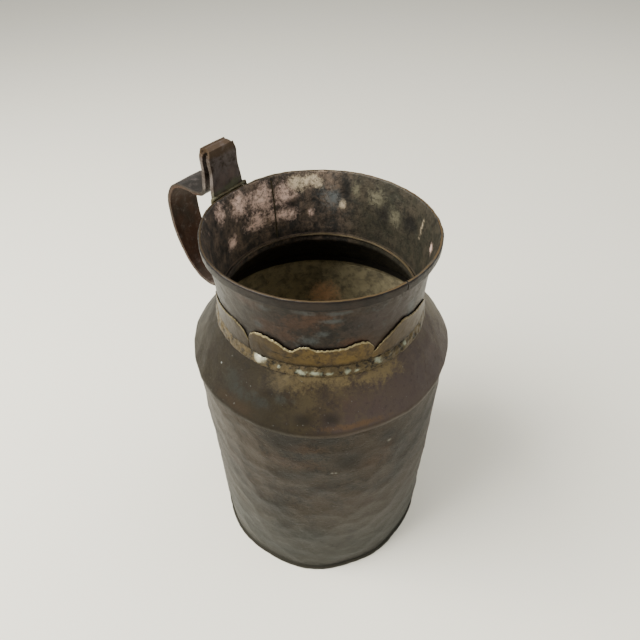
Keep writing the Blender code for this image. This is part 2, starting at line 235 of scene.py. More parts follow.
def pushOut(piece, shift):
    # moves every point in or out from the jug's axis
    points = readPoints(piece)
    radius = np.hypot(points[:, 0], points[:, 1])
    scale = 1 + shift(turnOf(points), points[:, 2]) / np.maximum(radius, 0.02)
    points[:, 0] *= scale
    points[:, 1] *= scale
    writePoints(piece, points)


def applyModifier(piece, kind, **settings):
    makeActive(piece)
    modifier = piece.modifiers.new(kind.lower(), kind)
    for key, value in settings.items():
        setattr(modifier, key, value)
    bpy.ops.object.modifier_apply(modifier=modifier.name)


def roughen(piece, kind, size, depth, middle=0.5, **settings):
    # pushes the surface along its normals by a procedural texture
    texture = bpy.data.textures.new(piece.name + kind, kind)
    texture.noise_scale = size
    for key, value in settings.items():
        setattr(texture, key, value)
    place = {"texture": texture, "texture_coords": "LOCAL"}
    applyModifier(piece, "DISPLACE", strength=depth, mid_level=middle, **place)


def hammer(piece, size, depth):
    roughen(piece, "VORONOI", size, depth, 0.35, distance_metric="DISTANCE_SQUARED")


def thicken(piece, thickness, offset=-1.0):
    corners = {"use_even_offset": True, "use_quality_normals": True}
    applyModifier(piece, "SOLIDIFY", thickness=thickness, offset=offset, **corners)


def smoothShade(piece, angle=40):
    makeActive(piece)
    bpy.ops.object.shade_smooth_by_angle(angle=math.radians(angle))


def splitFinish(piece, outside, inside):
    # faces that look away from the axis, or up, take the outside finish
    piece.data.materials.clear()
    piece.data.materials.append(outside)
    piece.data.materials.append(inside)
    for face in piece.data.polygons:
        center, normal = face.center, face.normal
        inward = center.x * normal.x + center.y * normal.y < 0
        face.material_index = 1 if inward and normal.z < 0.75 else 0


def layBead(name, points, thickness):
    # a line made into a round bead with closed ends
    bead = drawLine(name, points)
    makeActive(bead)
    bpy.ops.object.convert(target="CURVE")
    bead.data.bevel_depth = thickness
    bead.data.bevel_resolution = 3
    bead.data.use_fill_caps = True
    bpy.ops.object.convert(target="MESH")
    return bead


def finishPiece(piece, finish, node, angle=40):
    if finish:
        piece.data.materials.clear()
        piece.data.materials.append(finish)
    smoothShade(piece, angle)
    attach(piece, "root")
    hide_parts(node)
    print("made", piece.name, len(piece.data.polygons), "faces")


# shader sums are written on this wrapper round a socket
class Wire:
    def __init__(self, finish, socket):
        self.finish, self.socket = finish, socket

    def sum(self, operation, *values):
        return self.finish.add("ShaderNodeMath", {"operation": operation}, dict(enumerate(values)))

    def __add__(self, other):
        return self.sum("ADD", self, other)

    def __sub__(self, other):
        return self.sum("SUBTRACT", self, other)

    def __rsub__(self, other):
        return self.sum("SUBTRACT", other, self)

    def __mul__(self, other):
        return self.sum("MULTIPLY", self, other)

    __radd__ = __add__
    __rmul__ = __mul__


def tone(red, green, blue):
    # display values from 0 to 255, as linear light
    return tuple((value / 255) ** 2.2 for value in (red, green, blue))


class Finish:
    # a material whose colour is laid on in layers, each a mask and a tone of the piece's look
    def __init__(self, name, look):
        self.look = look
        self.material = bpy.data.materials.new(name)
        self.material.use_nodes = True
        self.nodes = self.material.node_tree.nodes
        self.links = self.material.node_tree.links
        self.shader = self.nodes["Principled BSDF"]
        self.place = self.add("ShaderNodeTexCoord", {}, {}, "Object")
        parts = self.add("ShaderNodeSeparateXYZ", {}, {0: self.place})
        self.x, self.y, self.z = (Wire(self, socket) for socket in parts.socket.node.outputs)
        self.grain = self.noise(380, 6, 0.75)
        self.patch = self.noise(105, 6, 0.72, 0.3)
        self.fray = self.grain * 0.45 + self.patch * 0.55 - 0.5
        # a mask over the jug's left side, used to paint shade on the shoulder, neck and bands
        self.left = self.smooth(0 - self.x * 0.57 - self.y * 0.82 + self.fray * 0.03, 0.012, 0.062)

    def add(self, kind, settings, values, output=0):
        node = self.nodes.new(kind)
        for key, value in settings.items():
            setattr(node, key, value)
        for key, value in values.items():
            if isinstance(value, Wire):
                self.links.new(value.socket, node.inputs[key])
            else:
                node.inputs[key].default_value = value
        return Wire(self, node.outputs[output])

    def noise(self, scale, detail=4.0, roughness=0.6, warp=0.0, place=None):
        values = {"Vector": place or self.place, "Scale": scale, "Detail": detail}
        values.update({"Roughness": roughness, "Distortion": warp})
        return self.add("ShaderNodeTexNoise", {}, values, "Fac")

    def stretched(self, x, y, z):
        return self.add("ShaderNodeMapping", {}, {"Vector": self.place, "Scale": (x, y, z)})

    def smooth(self, value, low, high):
        settings = {"interpolation_type": "SMOOTHSTEP"}
        return self.add("ShaderNodeMapRange", settings, {0: value, 1: low, 2: high, 3: 0.0, 4: 1.0})

    def mix(self, share, first, second):
        def color(value):
            return value if isinstance(value, Wire) else (*value, 1)

        settings = {"data_type": "RGBA"}
        return self.add("ShaderNodeMix", settings, {0: share, 6: color(first), 7: color(second)}, 2)

    def vector(self, operation, values, output=0):
        return self.add("ShaderNodeVectorMath", {"operation": operation}, values, output)

    def stored(self, attribute):
        return self.add("ShaderNodeAttribute", {"attribute_name": attribute}, {}, "Fac")

    def sideways(self, angle):
        # distance to either side of the plane through the axis at this angle
        turn = math.radians(angle)
        across = self.x * math.sin(turn) - self.y * math.cos(turn)
        return across.sum("ABSOLUTE", across)

    def spot(self, radius, place, across, tall, ragged):
        # one near a place given as angle and height, falling to nothing with a ragged edge
        gap = self.vector("SUBTRACT", {0: self.place, 1: onAxis(radius, *place)})
        gap = self.vector("MULTIPLY", {0: gap, 1: (1 / across, 1 / across, 1 / tall)})
        length = self.vector("LENGTH", {0: gap}, "Value")
        return 1 - self.smooth(length + self.fray * ragged, 0.1, 1.15)

    def start(self, share, first, second):
        self.color = self.mix(share, self.look[first], self.look[second])

    def lay(self, share, name):
        self.color = self.mix(share, self.color, self.look[name])

    def spots(self, name, radius, share, ragged=3.5):
        # all the spots that the look lists for one of its tones
        for place, across, tall in self.look[name + "Spots"]:
            self.lay(self.spot(radius, place, across, tall, ragged) * share, name)

    def finish(self, roughness, metallic, height=None, distance=0.001, gloss=0.28):
        color = self.color
        if "tint" in self.look:
            values = {0: 1.0, 6: color, 7: (*self.look["tint"], 1)}
            settings = {"data_type": "RGBA", "blend_type": "MULTIPLY"}
            color = self.add("ShaderNodeMix", settings, values, 2)
        for name, value in (("Base Color", color), ("Roughness", roughness), ("Metallic", metallic)):
            if isinstance(value, Wire):
                self.links.new(value.socket, self.shader.inputs[name])
            else:
                self.shader.inputs[name].default_value = value
        self.shader.inputs["Specular IOR Level"].default_value = gloss
        if height:
            bump = self.add("ShaderNodeBump", {}, {"Height": height, "Distance": distance}, "Normal")
            self.links.new(bump.socket, self.shader.inputs["Normal"])
        return self.material


# hammered wall and base
wallLook = {
    "tint": (0.2, 0.19, 0.172),
    "brown": tone(100, 86, 70),
    "dark": tone(60, 56, 50),
    "red": tone(108, 80, 64),
    "grey": tone(104, 106, 98),
    "blue": tone(84, 94, 96),
    "orange": tone(122, 90, 64),
    "pale": tone(150, 146, 132),
    "white": tone(225, 226, 220),
    "slit": tone(24, 22, 20),
    "darkSpots": [  # angle, height, size across, size up
        ((289.8, 0.192), 0.013, 0.011), ((316.5, 0.173), 0.014, 0.015), ((290.6, 0.15), 0.016, 0.01),
        ((300, 0.156), 0.008, 0.007), ((320, 0.052), 0.006, 0.006), ((321, 0.063), 0.005, 0.004),
        ((334, 0.186), 0.009, 0.007), ((342, 0.13), 0.006, 0.022), ((308, 0.196), 0.01, 0.005),
    ],
    "orangeSpots": [
        ((291, 0.168), 0.026, 0.009), ((297, 0.187), 0.016, 0.007), ((330, 0.165), 0.016, 0.012),
    ],
    "blueSpots": [
        ((258, 0.045), 0.03, 0.022), ((279, 0.026), 0.034, 0.016), ((300, 0.06), 0.022, 0.014),
    ],
    "whiteSpots": [
        ((309.6, 0.1584), 0.0013, 0.0009), ((311.2, 0.1584), 0.0012, 0.0009),
        ((334.8, 0.179), 0.0022, 0.0016),
    ],
}


def wallFinish(look):
    f = Finish("hammeredCopper", look)
    broad = f.noise(16, 4, 0.6, 0.4)
    f.start(f.smooth(broad + f.fray * 1.2, 0.38, 0.66), "brown", "dark")
    f.lay(f.smooth(f.noise(30, 5, 0.65) + f.fray * 0.8, 0.52, 0.74) * 0.5, "red")
    # painted reflection of the pale floor: the lower wall turns grey
    low = 1 - f.smooth(f.z + f.fray * 0.1, 0.02, 0.13)
    f.lay(low * 0.75, "grey")
    f.lay(f.smooth(f.noise(22, 5, 0.7, 0.5) + f.fray, 0.54, 0.78) * 0.25, "blue")
    f.spots("orange", wallRadius, 0.45)
    f.spots("blue", wallRadius, 0.45)
    f.spots("dark", wallRadius, 0.85)
    scratches = f.smooth(f.noise(60, 6, 0.75, 0, f.stretched(1, 1, 7)), 0.6, 0.72)
    f.lay(scratches * 0.2, "pale")
    f.lay(f.smooth(f.grain, 0.56, 0.72) * 0.35, "dark")
    f.lay(f.smooth(f.noise(700, 2, 0.5), 0.72, 0.8) * 0.3, "white")
    f.spots("white", wallRadius, 1.0, 0.4)
    # painted shade in the crimp's slits
    f.lay(f.stored("slit") * 0.9, "slit")
    rough = 0.33 + 0.24 * f.grain + 0.1 * broad
    pits = f.smooth(f.noise(300, 3, 0.6), 0.6, 0.7)
    height = 0.35 * f.patch + 0.3 * f.grain - 0.2 * pits
    return f.finish(rough, 0.5, height, 0.0007, 0.12)


wallRelief = {
    "marks": (0.017, 0.0012),  # size and depth
    "ripples": (0.02, 0.0008),
    "fadeHeight": 0.007,  # above the crimped base
    "pulledIn": 0.0002,
}


def makeWall(outside, inside):
    wall = turnSheet("hammeredWall", [(wallRadius, wallLow.z), (wallRadius, wallHigh.z)], 0.002)
    pushOut(wall, wallShift)
    hammer(wall, *wallRelief["marks"])
    roughen(wall, "CLOUDS", *wallRelief["ripples"])
    # the relief dies out where the base is crimped over the wall
    points = readPoints(wall)
    radius = np.hypot(points[:, 0], points[:, 1])
    plain = wallRadius + wallShift(turnOf(points), points[:, 2])
    fade = np.clip((points[:, 2] - baseHigh.z) / wallRelief["fadeHeight"], 0, 1)
    wanted = plain + (radius - plain) * fade - wallRelief["pulledIn"] * (1 - fade)
    points[:, :2] *= (wanted / radius)[:, None]
    writePoints(wall, points)
    thicken(wall, jug["sheet"])
    splitFinish(wall, outside, inside)
    finishPiece(wall, None, "body_wall")


crimp = {
    "sheet": 0.0012,
    "spacing": 0.0012,
    "steps": 480,
    "slits": [  # degrees
        289.5, 299.5, 303, 322, 327.5, 338, 350, 353, 18, 31, 52, 84, 120, 158, 201, 236, 262, 274,
    ],
    "slitWide": 1.3,  # degrees
    "slitHeight": 0.0022,
    "slitTall": 0.0009,
    "slitDeep": 0.001,
    "ripples": (0.006, 0.0003),
    "solder": 0.0035,
}


def slitShift(angle, height):
    size = (crimp["slitHeight"], crimp["slitWide"], crimp["slitTall"], -crimp["slitDeep"])
    return dents(angle, height, [(turn, *size) for turn in crimp["slits"]])


def makeBase(finish, inside):
    radius, top, sheet = baseHigh.y, baseHigh.z, crimp["sheet"]
    low = [(0.0, 0.0), (radius - 0.0014, 0.0), (radius - 0.0004, 0.0004), (radius, 0.0012)]
    high = [(radius - 0.0002, top * 0.6), (wallRadius + 0.0004, top - 0.0004)]
    edge = [(wallRadius - 0.0001, top), (wallRadius - 0.0009, top + 0.0002)]
    inner = [(wallRadius - 0.0009, sheet), (0.0, sheet)]
    base = turnSheet("crimpedBase", low + high + edge + inner, crimp["spacing"], crimp["steps"])
    pushOut(base, wallShift)
    points = readPoints(base)
    depth = -slitShift(turnOf(points), points[:, 2]) / crimp["slitDeep"]
    depth *= np.hypot(points[:, 0], points[:, 1]) > wallRadius - 0.004
    # a mask of the crimp's slits, used to paint shade into them
    slit = base.data.attributes.new("slit", "FLOAT", "POINT")
    slit.data.foreach_set("value", np.clip(depth * 1.4 - 0.4, 0, 1).astype(np.float32))
    pushOut(base, slitShift)
    roughen(base, "CLOUDS", *crimp["ripples"])
    points = readPoints(base)
    points[:, 2] = np.maximum(points[:, 2], 0)
    writePoints(base, points)
    finishPiece(base, finish, "base_plate")

    corner, floor = wallRadius - jug["sheet"] - 0.0005, sheet + 0.0005
    section = [
        (corner, floor), (corner, floor + crimp["solder"]), (corner - 0.0012, floor + 0.0012),
        (corner - crimp["solder"], floor), (corner, floor),
    ]
    fillet = turnSheet("baseSolder", section, 0.001)
    pushOut(fillet, wallShift)
    finishPiece(fillet, inside, "base_seam_solder")


# shoulder
shoulderLook = {
    "tint": (0.56, 0.56, 0.57),
    "olive": tone(98, 85, 60),
    "brown": tone(72, 61, 48),
    "gold": tone(140, 122, 84),
    "orange": tone(118, 90, 60),
    "blue": tone(104, 112, 106),
    "purple": tone(96, 84, 80),
    "dark": tone(50, 45, 40),
    "shade": tone(38, 34, 24),
    "white": tone(196, 200, 190),
    "blueSpots": [
        ((262.8, 0.2206), 0.012, 0.008), ((268.4, 0.2162), 0.011, 0.006), ((278.8, 0.2162), 0.009, 0.0045),
        ((287.6, 0.2216), 0.006, 0.004), ((292.4, 0.2226), 0.004, 0.003),
    ],
    "orangeSpots": [
        ((270.5, 0.2085), 0.016, 0.004), ((262, 0.209), 0.014, 0.0035), ((318, 0.208), 0.026, 0.002),
    ],
    "darkSpots": [
        ((297.5, 0.2124), 0.008, 0.0045), ((308.9, 0.2128), 0.007, 0.004), ((266, 0.228), 0.01, 0.009),
    ],
    # the gold patches at the front, under the solder, are painted light where the shoulder is lit
    "goldSpots": [
        ((300, 0.2335), 0.026, 0.006), ((334, 0.231), 0.02, 0.007), ((288, 0.229), 0.014, 0.006),
    ],
    "whiteSpots": [
        ((356.5, 0.2307), 0.0022, 0.0022), ((319.5, 0.203), 0.003, 0.0012), ((252, 0.222), 0.001, 0.0008),
    ],
}


def shoulderFinish(look):
    f = Finish("shoulderCopper", look)
    broad = f.noise(24, 4, 0.6, 0.4)
    f.start(f.smooth(broad + f.fray * 1.2, 0.4, 0.66), "olive", "brown")
    f.lay(f.smooth(f.noise(40, 5, 0.7) + f.fray, 0.52, 0.76) * 0.4, "orange")
    right = f.smooth(f.x * 0.9 - f.y * 0.1 + f.fray * 0.04, 0.04, 0.08)
    f.lay(right * 0.75, "purple")
    # painted light at the front of the shoulder, under the solder
    f.spots("gold", coneRadius(0.231), 0.85, 4.5)
    f.spots("blue", coneRadius(0.218), 0.6)
    f.spots("orange", coneRadius(0.209), 0.6)
    f.spots("dark", coneRadius(0.213), 0.7)
    edge = 1 - f.smooth(f.z + f.fray * 0.004, shoulderEdge - 0.0006, shoulderEdge + 0.0016)
    f.lay(edge * 0.6, "brown")
    # painted shade on the shoulder's left side
    f.lay(f.left * 0.8, "shade")
    f.lay(f.smooth(f.grain, 0.54, 0.7) * 0.4, "dark")
    f.lay(f.smooth(f.noise(650, 2, 0.5), 0.71, 0.8) * 0.35, "white")
    f.spots("white", coneRadius(0.222), 1.0, 0.6)
    rough = 0.4 + 0.26 * f.grain
    height = 0.35 * f.patch + 0.35 * f.grain
    return f.finish(rough, 0.5, height, 0.0006)


shoulderSize = {
    "marks": (0.014, 0.0008),  # size and depth
    "ripples": (0.012, 0.0004),
    "solder": 0.0055,
}


def makeShoulder(outside, inside):
    upstandRadius = neckRadius - jug["sheet"] - jug["fit"]
    lipTop = shoulderEdge - 0.0006
    top = throat
    corners = [
        (lipRadius, shoulderLow.z), (lipRadius, lipTop), (lipRadius - 0.0005, lipTop + 0.0009),
        (upstandRadius + 0.0004, coneHeight(upstandRadius + 0.0004)),
        (upstandRadius, coneHeight(upstandRadius) + 0.0008),
        (upstandRadius, top - 0.0018), (upstandRadius - 0.0003, top - 0.0008),
        (upstandRadius - 0.0011, top - 0.0002), (upstandRadius - 0.0024, top - 0.0007),
    ]
    shoulder = turnSheet("shoulderCone", corners, 0.0016)
    pushOut(shoulder, shoulderShift)
    hammer(shoulder, *shoulderSize["marks"])
    roughen(shoulder, "CLOUDS", *shoulderSize["ripples"])
    thicken(shoulder, jug["sheet"])
    splitFinish(shoulder, outside, inside)
    finishPiece(shoulder, None, "shoulder_cone")

    corner = wallRadius - jug["sheet"] - 0.0006
    level = coneHeight(corner, -jug["sheet"] - 0.0005)
    run = shoulderSize["solder"] / coneSlant
    slope = (corner - run, level + run * coneFall)
    section = [(corner, level), slope, (corner, level - shoulderSize["solder"]), (corner, level)]
    fillet = turnSheet("shoulderSolder", section, 0.001)
    pushOut(fillet, lambda angle, height: wallShift(angle, 0 * height + shoulderEdge))
    finishPiece(fillet, inside, "shoulder_seam_solder")


# neck
neckLook = {
    "tint": (0.34, 0.335, 0.33),
    "brown": tone(82, 69, 56),
    "dark": tone(50, 46, 42),
    "red": tone(108, 78, 60),
    "blue": tone(104, 112, 114),
    "purple": tone(88, 76, 74),
    "hem": tone(62, 56, 54),
    "shade": tone(18, 16, 15),
    "gold": tone(150, 124, 82),
    "white": tone(200, 200, 190),
    "redSpots": [
        ((278.7, 0.2684), 0.012, 0.007), ((295.7, 0.2747), 0.02, 0.008), ((303, 0.2814), 0.018, 0.006),
        ((318.8, 0.2588), 0.014, 0.004), ((287, 0.264), 0.011, 0.006), ((270, 0.282), 0.013, 0.004),
    ],
    "blueSpots": [
        ((279.2, 0.2818), 0.005, 0.003), ((274.1, 0.2666), 0.004, 0.003), ((297.8, 0.2845), 0.009, 0.0024),
        ((313.2, 0.2842), 0.011, 0.0026), ((309.9, 0.2778), 0.008, 0.002), ((300, 0.262), 0.007, 0.004),
        ((306, 0.268), 0.005, 0.003), ((356, 0.262), 0.006, 0.014), ((248, 0.272), 0.005, 0.014),
    ],
    # the purple patches on the neck's right side are a painted sheen
    "purpleSpots": [((336, 0.272), 0.028, 0.018), ((352, 0.278), 0.016, 0.018)],
}


def neckFinish(look):
    f = Finish("neckCopper", look)
    f.start(f.smooth(f.noise(30, 5, 0.62, 0.4) + f.fray, 0.38, 0.64), "brown", "dark")
    f.lay(f.smooth(f.noise(36, 5, 0.65) + f.fray, 0.52, 0.76) * 0.5, "red")
    # painted sheen on the neck's right side
    f.spots("purple", neckRadius, 0.7)
    f.spots("red", neckRadius, 0.75)
    f.spots("blue", neckRadius, 0.7, 4.0)
    f.lay(f.smooth(f.noise(120, 6, 0.75), 0.58, 0.7) * 0.5, "blue")
    f.lay(f.smooth(f.grain, 0.54, 0.68) * 0.5, "dark")
    f.lay(f.smooth(f.noise(520, 3, 0.6), 0.68, 0.78) * 0.4, "white")
    hem = f.smooth(f.z, hemBottom - 0.0004, hemBottom + 0.0004)
    f.lay(hem * 0.5, "hem")
    # painted shadow in a narrow band just under the hem
    shadeBelow = f.smooth(f.z, hemBottom - 0.0036, hemBottom - 0.0024) * (1 - hem)
    f.lay(shadeBelow * 0.9, "shade")
    normal = f.add("ShaderNodeNewGeometry", {}, {}, "Normal")
    upward = f.add("ShaderNodeSeparateXYZ", {}, {0: normal}, "Z")
    top = f.smooth(upward + f.fray * 0.5, 0.8, 0.97) * f.smooth(f.z, rimTop - 0.0022, rimTop - 0.0012)
    f.lay(top * 0.95, "gold")
    # painted sheen: pale blue streaks on the neck's left and right sides
    sheenStreaks = f.smooth(f.noise(90, 5, 0.7, 0, f.stretched(1, 1, 0.12)), 0.52, 0.68)
    sheenSides = f.smooth(f.sideways(302), 0.04, 0.062)
    # painted shade on the neck's left side
    f.lay(f.left * 0.55, "dark")
    f.lay(sheenStreaks * sheenSides * 0.5, "blue")
    rough = 0.3 + 0.3 * f.grain - 0.06 * top
    height = 0.35 * f.patch + 0.35 * f.grain
    return f.finish(rough, 0.55, height, 0.0006)


cuts = {
    "split": (344, 0.012, 0.0012),  # angle, depth and width at the rim
    "notch": (208, 0.0026, 0.004),
}
neckRelief = {
    "ripples": [(0.012, 0.0006), (0.005, 0.0005)],  # size and depth
    "facets": 360,
    "flareSteps": 8,
    "foldTurn": 20,  # degrees for each facet of the folded rim
}


def cutRim(neck):
    for angle, depth, width in cuts.values():
        clearSelection()
        middle = onAxis(rimRadius - 0.001, angle, rimTop + 0.001 - depth / 2)
        bpy.ops.mesh.primitive_cube_add(size=1, location=(0, 0, 0))
        wedge = bpy.context.object
        points = readPoints(wedge)
        narrow = np.where(points[:, 2] < 0, 0.12, 1.0)
        points = points * np.array([0.012, width, depth + 0.002])
        points[:, 1] *= narrow
        writePoints(wedge, points)
        wedge.data.transform(Matrix.Translation(middle) @ Matrix.Rotation(math.radians(angle), 4, "Z"))
        applyModifier(neck, "BOOLEAN", operation="DIFFERENCE", object=wedge, solver="EXACT")
        bpy.data.objects.remove(wedge)


def makeNeck(outside, inside):
    sheet, foldWidth = jug["sheet"], 2 * jug["sheet"] + jug["fit"]
    boreTop = rimRadius - foldWidth
    foldTop = rimTop - foldWidth / 2
    flareStart = rimTop - jug["flareHeight"]
    corners = [(neckRadius - sheet, neckLow.z), (neckRadius - sheet, flareStart)]
    for step in range(1, neckRelief["flareSteps"] + 1):
        height = flareStart + (foldTop - flareStart) * step / neckRelief["flareSteps"]
        corners.append((min(boreTop, flareRadius(height) - sheet), height))
    for turn in range(neckRelief["foldTurn"], 181, neckRelief["foldTurn"]):
        across = foldWidth / 2 * (1 - math.cos(math.radians(turn)))
        corners.append((boreTop + across, foldTop + foldWidth / 2 * math.sin(math.radians(turn))))
    corners.append((rimRadius, hemBottom))
    neck = turnSheet("flaredNeck", corners, 0.0014, neckRelief["facets"])
    pushOut(neck, neckShift)
    for size, depth in neckRelief["ripples"]:
        roughen(neck, "CLOUDS", size, depth)
    thicken(neck, sheet)
    cutRim(neck)
    splitFinish(neck, outside, inside)
    finishPiece(neck, None, "neck_collar")


# worn tinning inside
liningLook = {
    "dark": tone(62, 60, 56),
    "pink": tone(255, 218, 194),
    "cream": tone(236, 214, 176),
    "blue": tone(116, 120, 116),
    "green": tone(126, 120, 96),
    "darkGreen": tone(54, 53, 42),
    "deepDark": tone(38, 36, 32),
    "tan": tone(142, 122, 102),
    "olive": tone(166, 154, 120),
    "orange": tone(236, 184, 136),
    "pinkSpots": [
        ((194, 0.287), 0.006, 0.008), ((178, 0.284), 0.011, 0.01), ((162, 0.281), 0.012, 0.012),
        ((168, 0.266), 0.012, 0.008), ((147, 0.28), 0.01, 0.012), ((150, 0.264), 0.014, 0.006),
        ((131, 0.2625), 0.0035, 0.004), ((211, 0.2865), 0.002, 0.004), ((189, 0.262), 0.006, 0.006),
        ((32, 0.279), 0.004, 0.004),
    ],
    "creamSpots": [
        ((139, 0.287), 0.009, 0.007), ((129, 0.288), 0.008, 0.006), ((111, 0.27), 0.003, 0.005),
        ((51, 0.281), 0.0022, 0.008),
    ],
    "blueSpots": [((118, 0.275), 0.009, 0.011)],
    "greenSpots": [((90, 0.281), 0.01, 0.009), ((103, 0.284), 0.005, 0.008), ((76, 0.272), 0.008, 0.008)],
    "deepDarkSpots": [
        ((110, 0.283), 0.006, 0.01), ((82, 0.27), 0.008, 0.01), ((200, 0.2856), 0.004, 0.0045),
        ((62, 0.276), 0.01, 0.012), ((143, 0.272), 0.006, 0.005),
    ],
    "orangeSpots": [((122.3, 0.164), 0.018, 0.018)],
}


def liningFinish(look):
    f = Finish("wornTinning", look)
    drips = f.noise(60, 6, 0.7, 0, f.stretched(1, 1, 0.25))
    f.start(f.smooth(f.patch * 0.6 + drips * 0.4, 0.4, 0.66), "dark", "tan")
    right = f.smooth(f.x * 0.64 + f.y * 0.77 + f.fray * 0.035, 0.026, 0.05)
    f.lay(right * 0.85, "darkGreen")
    left = f.smooth(0 - f.y + f.fray * 0.05, -0.012, 0.02) * (1 - right)
    f.lay(left * 0.4, "dark")
    f.spots("pink", neckRadius, 0.95, 4.5)
    f.spots("cream", neckRadius, 0.85, 4.5)
    f.spots("blue", neckRadius, 0.65)
    f.spots("green", neckRadius, 0.65, 4.0)
    f.spots("deepDark", neckRadius, 0.9)
    f.lay(f.smooth(f.noise(240, 6, 0.8, 0.5), 0.49, 0.6) * 0.6, "deepDark")
    f.lay(f.smooth(f.grain, 0.52, 0.66) * 0.3, "deepDark")
    above = f.smooth(f.z, throat - 0.001, throat + 0.001)
    above = above * (1 - f.smooth(f.z + f.fray * 0.01, throat + 0.002, throat + 0.008))
    f.lay(above * 0.3, "deepDark")
    ridge = f.smooth(f.z + f.fray * 0.006, throat - 0.002, throat - 0.0008)
    ridge = ridge * (1 - f.smooth(f.z, throat - 0.0003, throat + 0.0003)) * (1 - 0.7 * right)
    f.lay(ridge * 0.45, "tan")
    # painted shade: the inside below the neck's foot, the shoulder's underside, is made near black
    shadeBelow = 1 - f.smooth(f.z, neckFoot - 0.002, neckFoot + 0.004)
    f.lay(shadeBelow, "deepDark")
    deep = 1 - f.smooth(f.z, shoulderEdge - 0.003, shoulderEdge - 0.001)
    floor = f.mix(f.smooth(f.patch, 0.4, 0.65) * 0.6, look["olive"], look["dark"])
    f.color = f.mix(deep, f.color, floor)
    f.spots("orange", wallRadius, 0.8, 2.5)
    rough = 0.42 + 0.25 * f.grain
    height = 0.4 * f.grain + 0.5 * f.patch
    return f.finish(rough, 0.35, height, 0.0009)


# upright seams
seam = {
    "bodyTurn": 180,
    "bodyBead": 0.001,
    "bodyRipple": (0.006, 0.0005),  # size and depth
    "neckTurn": 154,
    "neckBead": 0.0006,
    "neckRipple": (0.004, 0.0004),
    "neckStart": 0.0085,  # above the neck's foot
    "neckSteps": 12,
}


def makeSeams(finish):
    radius, turn = wallRadius - 0.0003, seam["bodyTurn"]
    ends = [onAxis(radius, turn, wallLow.z + 0.0012), onAxis(radius, turn, wallHigh.z - 0.001)]
    bead = layBead("bodySeam", evenPoints(ends, 0.004), seam["bodyBead"])
    roughen(bead, "CLOUDS", *seam["bodyRipple"])
    finishPiece(bead, finish, "body_seam_braze")

    start, points = neckFoot + seam["neckStart"], []
    for step in range(seam["neckSteps"] + 1):
        height = start + (rimTop - 0.003 - start) * step / seam["neckSteps"]
        points.append(onAxis(flareRadius(height) - jug["sheet"] + 0.0002, seam["neckTurn"], height))
    bead = layBead("neckSeam", points, seam["neckBead"])
    pushOut(bead, neckShift)
    roughen(bead, "CLOUDS", *seam["neckRipple"])
    finishPiece(bead, finish, "neck_seam_braze")


# solder round the foot of the neck
solderLook = {
    "dull": tone(74, 64, 46),
    "gold": tone(84, 72, 48),
    "dark": tone(28, 26, 22),
    "cream": tone(186, 184, 160),
    "green": tone(146, 152, 132),
    "ripple": (0.003, 0.0016, 0.52),  # size, depth and middle
    "facets": 540,
    "lumpTall": 0.004,
    "lumps": [  # angle, spread in degrees, growth
        (274.5, 3.4, 0.0019), (279.5, 1.6, 0.0008), (284, 1.3, 0.0006), (291, 1.6, 0.0008),
        (297, 2.6, 0.0012), (304, 2.0, 0.0012), (309.5, 1.5, 0.0008), (317, 1.6, 0.0009),
        (322, 1.6, 0.0007), (329, 2.4, 0.001), (335, 2.2, 0.0016), (341, 1.6, 0.001),
        (352, 2.0, 0.0012), (10, 3.0, 0.0008), (48, 4.0, 0.001), (93, 3.0, 0.0008),
        (140, 4.0, 0.0009), (212, 3.0, 0.0008), (240, 3.0, 0.0007),
    ],
    "creamSpots": [((273.6, 0.2405), 0.0052, 0.0045), ((277, 0.2425), 0.0026, 0.003)],
    "greenSpots": [
        ((281.5, 0.2395), 0.0018, 0.002), ((284.5, 0.2385), 0.0016, 0.0014), ((295, 0.2375), 0.004, 0.0016),
        ((302, 0.2375), 0.0045, 0.0018), ((309, 0.237), 0.0025, 0.0014), ((318, 0.2375), 0.002, 0.0022),
        ((323, 0.237), 0.0022, 0.0014), ((334, 0.24), 0.0035, 0.003), ((341, 0.242), 0.0022, 0.003),
        ((352, 0.24), 0.002, 0.0025), ((356, 0.2385), 0.0014, 0.002),
    ],
}


def solderFinish(look):
    f = Finish("tinSolder", look)
    f.start(f.smooth(f.patch, 0.4, 0.64), "dull", "gold")
    f.lay(f.smooth(f.noise(260, 5, 0.7), 0.5, 0.62) * 0.9, "dark")
    f.spots("green", neckRadius + 0.003, 0.75, 5.0)
    f.spots("cream", neckRadius + 0.003, 0.95, 2.2)
    height = 0.5 * f.grain + 0.4 * f.patch
    return f.finish(0.26 + 0.26 * f.grain, 0.45, height, 0.001)


def lumpShift(angle, height):
    level, tall = neckFoot + 0.002, solderLook["lumpTall"]
    lumps = [(turn, level, spread, tall, growth) for turn, spread, growth in solderLook["lumps"]]
    return dents(angle, height, lumps)


def makeSolder(finish):
    inner, foot = neckRadius + 0.0003, coneHeight(neckRadius + 0.0003, 0.0003)
    section = [
        (inner, foot), (inner, foot + 0.004), (inner + 0.0007, foot + 0.0022),
        (inner + 0.0015, foot + 0.0006), (inner + 0.0026, foot - 0.0026),
        (inner + 0.0024, coneHeight(inner + 0.0024, 0.0003)), (inner, foot),
    ]
    ring = turnSheet("neckSolder", section, 0.0007, solderLook["facets"])
    pushOut(ring, lumpShift)
    pushOut(ring, neckShift)
    roughen(ring, "CLOUDS", *solderLook["ripple"])
    finishPiece(ring, finish, "neck_solder_ring", 60)


